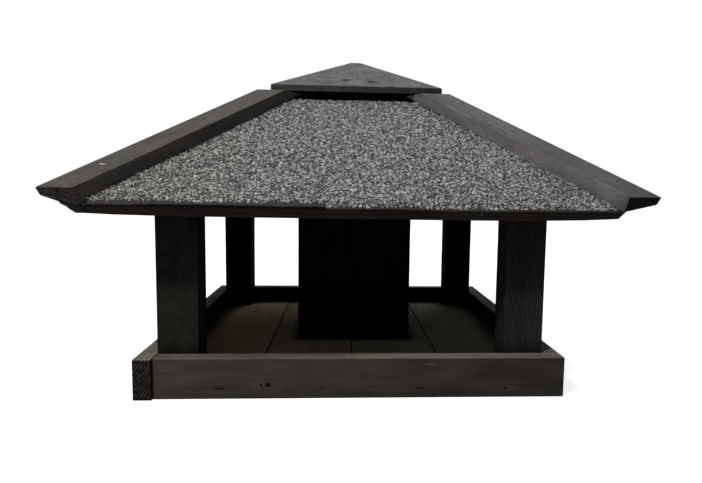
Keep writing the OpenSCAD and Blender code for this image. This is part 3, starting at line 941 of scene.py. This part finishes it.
def addBlock(bm, sizes, matrix):
    made = bmesh.ops.create_cube(bm, size=1.0, matrix=matrix @ Matrix.Diagonal((*sizes, 1)))["verts"]
    edges = list({edge for vertex in made for edge in vertex.link_edges})
    roundEdges(bm, edges, stapleLook["rounding"], 2)


def standingAt(at, along, facing, height):
    # the place of something whose own x runs along and whose z faces out, height above the point
    axes = axesOf(along, facing)
    return Matrix.Translation(Vector(at) + axes[2] * height) @ Matrix(axes).transposed().to_4x4()


def addStaple(bm, at, along, facing, length, wire):
    # a crown with a leg at each end, all but the top of the crown driven into the wood
    leg = stapleLook["leg"]
    turn = standingAt(at, along, facing, stapleLook["proud"] - wire / 2)
    addBlock(bm, (length, wire, wire), turn)
    for end in (-1, 1):
        corner = Matrix.Translation((end * (length - wire) / 2, 0, -leg / 2))
        addBlock(bm, (wire, wire * 0.9, leg), turn @ corner)


def addNailHead(bm, at, facing, width):
    height = stapleLook["head"]
    made = bmesh.ops.create_cone(
        bm, cap_ends=True, segments=10, radius1=width / 2, radius2=width * stapleLook["headTaper"],
        depth=height,
        matrix=standingAt(at, (0.3, 0.2, 0.9), facing, stapleLook["proud"] / 2 - height / 2))["verts"]
    bmesh.ops.recalc_face_normals(bm, faces=list({face for vertex in made for face in vertex.link_faces}))


def dimmed(colour, share):
    return [c * share for c in colour]


darkMetal = makeStapleMetal("stainedStaple", stapleLook["dark"], dimmed(stapleLook["dark"], 2.2), 0.0, 0.6)
zincMetal = makeStapleMetal("zincStaple", stapleLook["zinc"], stapleLook["rust"], 0.3, 0.45)
dullMetal = makeStapleMetal("dullStaple", stapleLook["dull"], dimmed(stapleLook["dull"], 0.5), 0.0, 0.6)
railStaples = dict(  # along, height, length
    front=((-0.1232, 0.0099, 0.0094), (0.0626, 0.0095, 0.0082)),
    back=((-0.119, 0.0096, 0.0092), (-0.028, 0.0101, 0.009), (0.066, 0.0094, 0.0092),
          (0.148, 0.0098, 0.009)),
    left=((-0.141, 0.0094, 0.0092), (-0.048, 0.0099, 0.0092), (0.05, 0.0097, 0.0088),
          (0.137, 0.0095, 0.0092)),
    right=((-0.132, 0.0098, 0.009), (-0.041, 0.0095, 0.0092), (0.056, 0.0101, 0.0092),
           (0.144, 0.0096, 0.0092)))
railHeads = dict(front=((-0.036, 0.0096, 0.0018), (-0.0305, 0.0096, 0.0026)))  # along, height, width


def onRail(side, along, height):
    # a point on the outer face of a rail
    facing = outwards[side]
    axis = 1 if facing.x else 0
    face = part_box(f"{side}_rail")[facing[1 - axis] > 0]
    spot = Vector((0, 0, height))
    spot[axis], spot[1 - axis] = along, face[1 - axis]
    return spot


for side, facing in outwards.items():
    bm = bmesh.new()
    for along, height, length in railStaples[side]:
        addStaple(bm, onRail(side, along, height), Vector((0, 0, 1)).cross(facing), facing, length,
                  stapleLook["railWire"])
    for along, height, width in railHeads.get(side, ()):
        addNailHead(bm, onRail(side, along, height), facing, width)
    addPiece(finishMesh(bm, f"rail_staples_{side}"), darkMetal)

# the height at which the plane of a front hip board's top crosses the feeder's middle
hipTop = max(v.co.z - math.tan(slope) * v.co.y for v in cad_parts["hip_board_front_left"].data.vertices)
outer, inner = (0.2128, 0.2239, 0.0075, 14), (0.108, 0.1158, 0.0056, 62)  # aside, out, length, turned by
hipStaples = dict(front_left=(outer,), front_right=(inner,))
hipShifts = (0.0012, 0.003)  # the most that a staple on another side than the front is moved aside and out
bm = bmesh.new()
for ends, (turn, lean) in hipEnds.items():
    spin = spinOf(turn)
    for aside, out, length, angle in hipStaples.get(ends, (outer, inner)):
        shifts = [draws.uniform(-1, 1) * most for most in hipShifts]
        if turn:
            aside, out = aside + shifts[0], out + shifts[1]
        spot = Vector((-lean * aside, -out, hipTop - math.tan(slope) * out))
        way = Matrix.Rotation(math.radians(-angle * lean), 3, "Z") @ Vector((1, 0, 0))
        addStaple(bm, spin @ spot, spin @ way, spin @ slopeFacing, length, stapleLook["hipWire"])
addPiece(finishMesh(bm, "hip_staples"), zincMetal)

brightStaple = dict(along=0.0715, height=0.0317, lean=0.04, length=0.0105, wire=0.0008)
bm = bmesh.new()
addStaple(bm, onRail("front", brightStaple["along"], brightStaple["height"]), (1, 0, brightStaple["lean"]),
          outwards["front"], brightStaple["length"], brightStaple["wire"])
addPiece(finishMesh(bm, "rail_staple_bright"), dullMetal)

eaveStaple = dict(along=0.108, up=0.004, length=0.0042, wire=0.0011)
bm = bmesh.new()
spot = panelFoot + outward * eaveStaple["up"]
addStaple(bm, (eaveStaple["along"], -spot.x, spot.y), slopeFacing, (0, -downhill.x, downhill.y),
          eaveStaple["length"], eaveStaple["wire"])
addPiece(finishMesh(bm, "eave_staple"), dullMetal)
print("staples made")

# stage, light and camera

# the floor glows white to the camera, less near the feeder so that its shadow shows
stageLook = dict(size=7.0, colour=(0.55, 0.55, 0.55), edges=(0.45, 1.3), white=(0.78, 1.0))
bm = bmesh.new()
bmesh.ops.create_grid(bm, x_segments=1, y_segments=1, size=stageLook["size"] / 2)
ground = addObject("studioFloor", finishMesh(bm, "studioFloor"))
ground.data.transform(Matrix.Translation((0, 0, cadBox[0][2])))
groundPaint, tree, shader = newMaterial("floorPaint")
put(shader["Roughness"], 0.9)
put(shader["Specular IOR Level"], 0.0)
spot = objectPlace(tree)
put(shader["Base Color"], mixed(cloud(spot, 2.0), opaque(stageLook["colour"]),
                                opaque([c * 1.02 for c in stageLook["colour"]])))
away = vectorLength(spot)
white = between(away, *stageLook["edges"], *stageLook["white"])
path = tree.nodes.new("ShaderNodeLightPath")
put(shader["Emission Color"], (1, 1, 1, 1))
put(shader["Emission Strength"], times(white, path.outputs["Is Camera Ray"]))
ground.data.materials.append(groundPaint)

lampLook = dict(
    key=dict(at=(-0.5, -0.85, 0.993), size=0.12, power=11.0, colour=(1.0, 0.985, 0.96)),
    top=dict(at=(0.05, 0.25, 1.75), size=1.2, power=17.0, colour=(0.98, 0.99, 1.0)),
    front=dict(at=(-0.6, -1.9, 0.55), size=1.4, power=4.5, colour=(0.97, 0.985, 1.0)),
    back=dict(at=(0.45, 1.35, 1.45), size=0.9, power=7.0, colour=(0.98, 0.99, 1.0)))
for name, lamp in lampLook.items():
    light = bpy.data.lights.new(name, "AREA")
    light.shape = "DISK"
    light.size = lamp["size"]
    light.energy = lamp["power"]
    light.color = lamp["colour"]
    holder = addObject(name, light)
    holder.location = lamp["at"]
    holder.rotation_euler = (Vector((0, 0, 0.2)) - Vector(lamp["at"])).to_track_quat("-Z", "Y").to_euler()

worldLook = dict(ambient=0.12, shine=0.35)
world = bpy.data.worlds.new("studio")
bpy.context.scene.world = world
world.use_nodes = True
tree = world.node_tree
path = tree.nodes.new("ShaderNodeLightPath")
seen = maths("MAXIMUM", path.outputs["Is Camera Ray"], path.outputs["Is Transmission Ray"])
shine = times(path.outputs["Is Glossy Ray"], worldLook["shine"])
put(tree.nodes["Background"].inputs["Strength"],
    maths("MAXIMUM", seen, maths("MAXIMUM", shine, worldLook["ambient"])))
tree.nodes["Background"].inputs["Color"].default_value = (1, 1, 1, 1)

cameraLook = dict(at=(-0.01256, -0.73653, 0.19746), yaw=3.641, pitch=5.898, roll=0.866, focal=593.8,
                  centre=(378.67, 246.95), width=702, height=483)
camera = bpy.data.cameras.new("camera")
camera.sensor_width = 36.0
camera.lens = cameraLook["focal"] / cameraLook["width"] * camera.sensor_width
camera.shift_x = (cameraLook["width"] / 2 - cameraLook["centre"][0]) / cameraLook["width"]
camera.shift_y = (cameraLook["centre"][1] - cameraLook["height"] / 2) / cameraLook["width"]
camera.clip_start = 0.01
eye = addObject("camera", camera)
yaw, pitch, roll = (math.radians(cameraLook[k]) for k in ("yaw", "pitch", "roll"))
ahead = Vector((math.sin(yaw) * math.cos(pitch), math.cos(yaw) * math.cos(pitch), -math.sin(pitch)))
level = Vector((math.cos(yaw), -math.sin(yaw), 0))
down = ahead.cross(level)
right = level * math.cos(roll) - down * math.sin(roll)
lower = level * math.sin(roll) + down * math.cos(roll)
eye.matrix_world = Matrix((right, -lower, -ahead)).transposed().to_4x4()
eye.location = cameraLook["at"]
bpy.context.scene.camera = eye
bpy.context.scene.view_settings.view_transform = "Standard"
print("stage, light and camera set")
